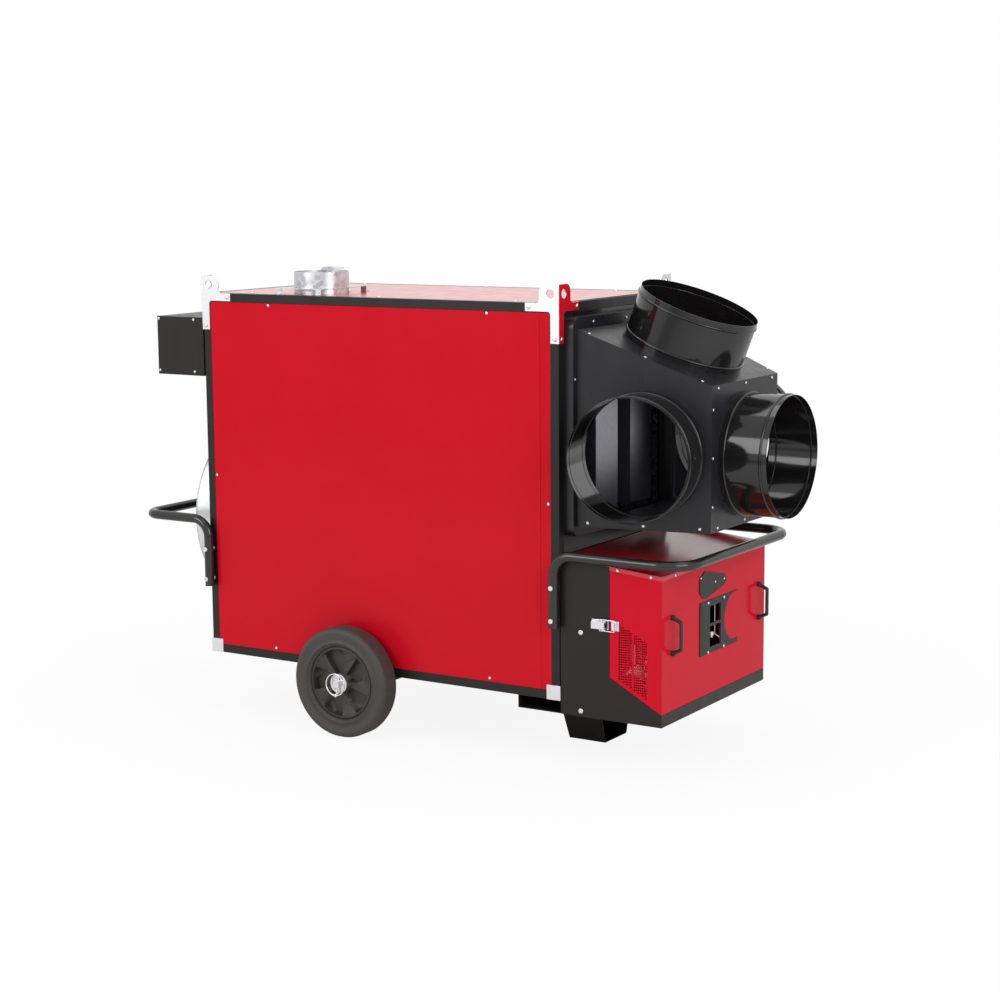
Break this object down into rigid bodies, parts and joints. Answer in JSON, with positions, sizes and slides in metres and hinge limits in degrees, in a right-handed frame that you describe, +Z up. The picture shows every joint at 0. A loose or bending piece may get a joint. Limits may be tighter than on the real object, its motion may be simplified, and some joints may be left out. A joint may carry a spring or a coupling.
{
  "type": "gas-fired hot air generator",
  "caption": "Wheeled gas-fired hot air generator: boxed casing with axial fan, heat exchanger, four-way outlet plenum, burner compartment with removable cover and tubular handles.",
  "frame": {"origin": "centre of the object's outline on the ground", "axes": "+X from the fan end towards the outlet and burner end, +Z up, -Y towards the pictured long side"},
  "size_m": [2.4088, 1.0148, 1.5905],
  "materials": {
    "black_paint": "semi-gloss powder coat",
    "red_paint": "gloss powder coat",
    "galvanised": "hot-dip zinc",
    "zinc": "bright zinc plate",
    "tyre": "matte",
    "black_plastic": "fine grain",
    "heat_steel": "mill finish",
    "cast_aluminium": "as cast"
  },
  "bodies": {
    "generator": {"frame_posts": "black_paint", "frame_rails": "black_paint", "corner_plates": "galvanised", "lifting_brackets": "galvanised", "casing_screws": "zinc", "side_panel_near": "red_paint", "side_panel_far": "red_paint", "top_panel": "red_paint", "floor_panel": "black_paint", "fan_end_panel": "black_paint", "outlet_end_panel": "black_paint", "axle_beam": "black_paint", "axle": "zinc", "axle_pins": "zinc", "axle_washers": "zinc", "foot_beam": "black_paint", "support_foot": "black_paint", "fan_ring": "galvanised", "fan_guard": "black_paint", "guard_clips": "black_paint", "fan_motor": "cast_aluminium", "motor_struts": "black_paint", "control_box": "black_paint", "control_box_cover": "black_paint", "combustion_chamber": "heat_steel", "chamber_supports": "galvanised", "chamber_riser": "heat_steel", "heat_exchanger": "heat_steel", "smoke_box": "heat_steel", "flue_pipe": "galvanised", "flue_plate": "galvanised", "outlet_collar": "black_paint", "plenum": "black_paint", "spigots": "black_paint", "front_handle": "black_paint", "rear_handle": "black_paint", "handle_bolts": "zinc", "burner_base": "black_paint", "burner_head": "cast_aluminium", "burner_motor": "cast_aluminium", "gas_train": "zinc", "latch_bases": "zinc"},
    "wheel_left": {"tyre_near": "tyre", "wheel_near": "black_plastic"},
    "wheel_right": {"tyre_far": "tyre", "wheel_far": "black_plastic"},
    "fan": {"fan_impeller": "cast_aluminium"},
    "selector": {"selector_knob": "black_plastic"},
    "cover": {"burner_cover": "red_paint", "cover_top": "red_paint", "cover_grilles": "red_paint", "cover_screws": "zinc", "bow_handles": "black_plastic", "entry_plates": "black_paint", "latch_keepers": "zinc"},
    "latch_left": {"latch_lever_near": "zinc"},
    "latch_left_loop": {"latch_loop_near": "zinc"},
    "latch_right": {"latch_lever_far": "zinc"},
    "latch_right_loop": {"latch_loop_far": "zinc"},
    "blower": {"burner_impeller": "cast_aluminium"}
  },
  "joints": [
    {"name": "wheel_left_spin", "type": "hinge", "parent": "generator", "child": "wheel_left", "pos_m": [-0.26458, -0.444, 0.1925], "axis": [0, 1, 0], "continuous": true},
    {"name": "wheel_right_spin", "type": "hinge", "parent": "generator", "child": "wheel_right", "pos_m": [-0.26458, 0.444, 0.1925], "axis": [0, 1, 0], "continuous": true},
    {"name": "fan_spin", "type": "hinge", "parent": "generator", "child": "fan", "pos_m": [-0.86757, 0, 0.6875], "axis": [1, 0, 0], "continuous": true},
    {"name": "blower_spin", "type": "hinge", "parent": "generator", "child": "blower", "pos_m": [0.71242, 0, 0.4655], "axis": [1, 0, 0], "continuous": true},
    {"name": "selector_turn", "type": "hinge", "parent": "generator", "child": "selector", "pos_m": [-1.11957, -0.229, 1.33345], "axis": [1, 0, 0], "range_deg": [-45, 45]},
    {"name": "cover_draw", "type": "slide", "parent": "generator", "child": "cover", "axis": [1, 0, 0], "range_m": [0, 0.3]},
    {"name": "latch_left_swing", "type": "hinge", "parent": "generator", "child": "latch_left", "pos_m": [0.73042, -0.391, 0.4875], "axis": [0, 0, 1], "range_deg": [0, 110]},
    {"name": "latch_left_loop_swing", "type": "hinge", "parent": "latch_left", "child": "latch_left_loop", "pos_m": [0.71442, -0.391, 0.4875], "axis": [0, 0, 1], "range_deg": [-110, 0]},
    {"name": "latch_right_swing", "type": "hinge", "parent": "generator", "child": "latch_right", "pos_m": [0.73042, 0.391, 0.4875], "axis": [0, 0, -1], "range_deg": [0, 110]},
    {"name": "latch_right_loop_swing", "type": "hinge", "parent": "latch_right", "child": "latch_right_loop", "pos_m": [0.71442, 0.391, 0.4875], "axis": [0, 0, -1], "range_deg": [-110, 0]}
  ],
  "couplings": [
    {"joint": "latch_left_loop_swing", "follows": "latch_left_swing", "ratio": -1},
    {"joint": "latch_right_loop_swing", "follows": "latch_right_swing", "ratio": -1}
  ]
}
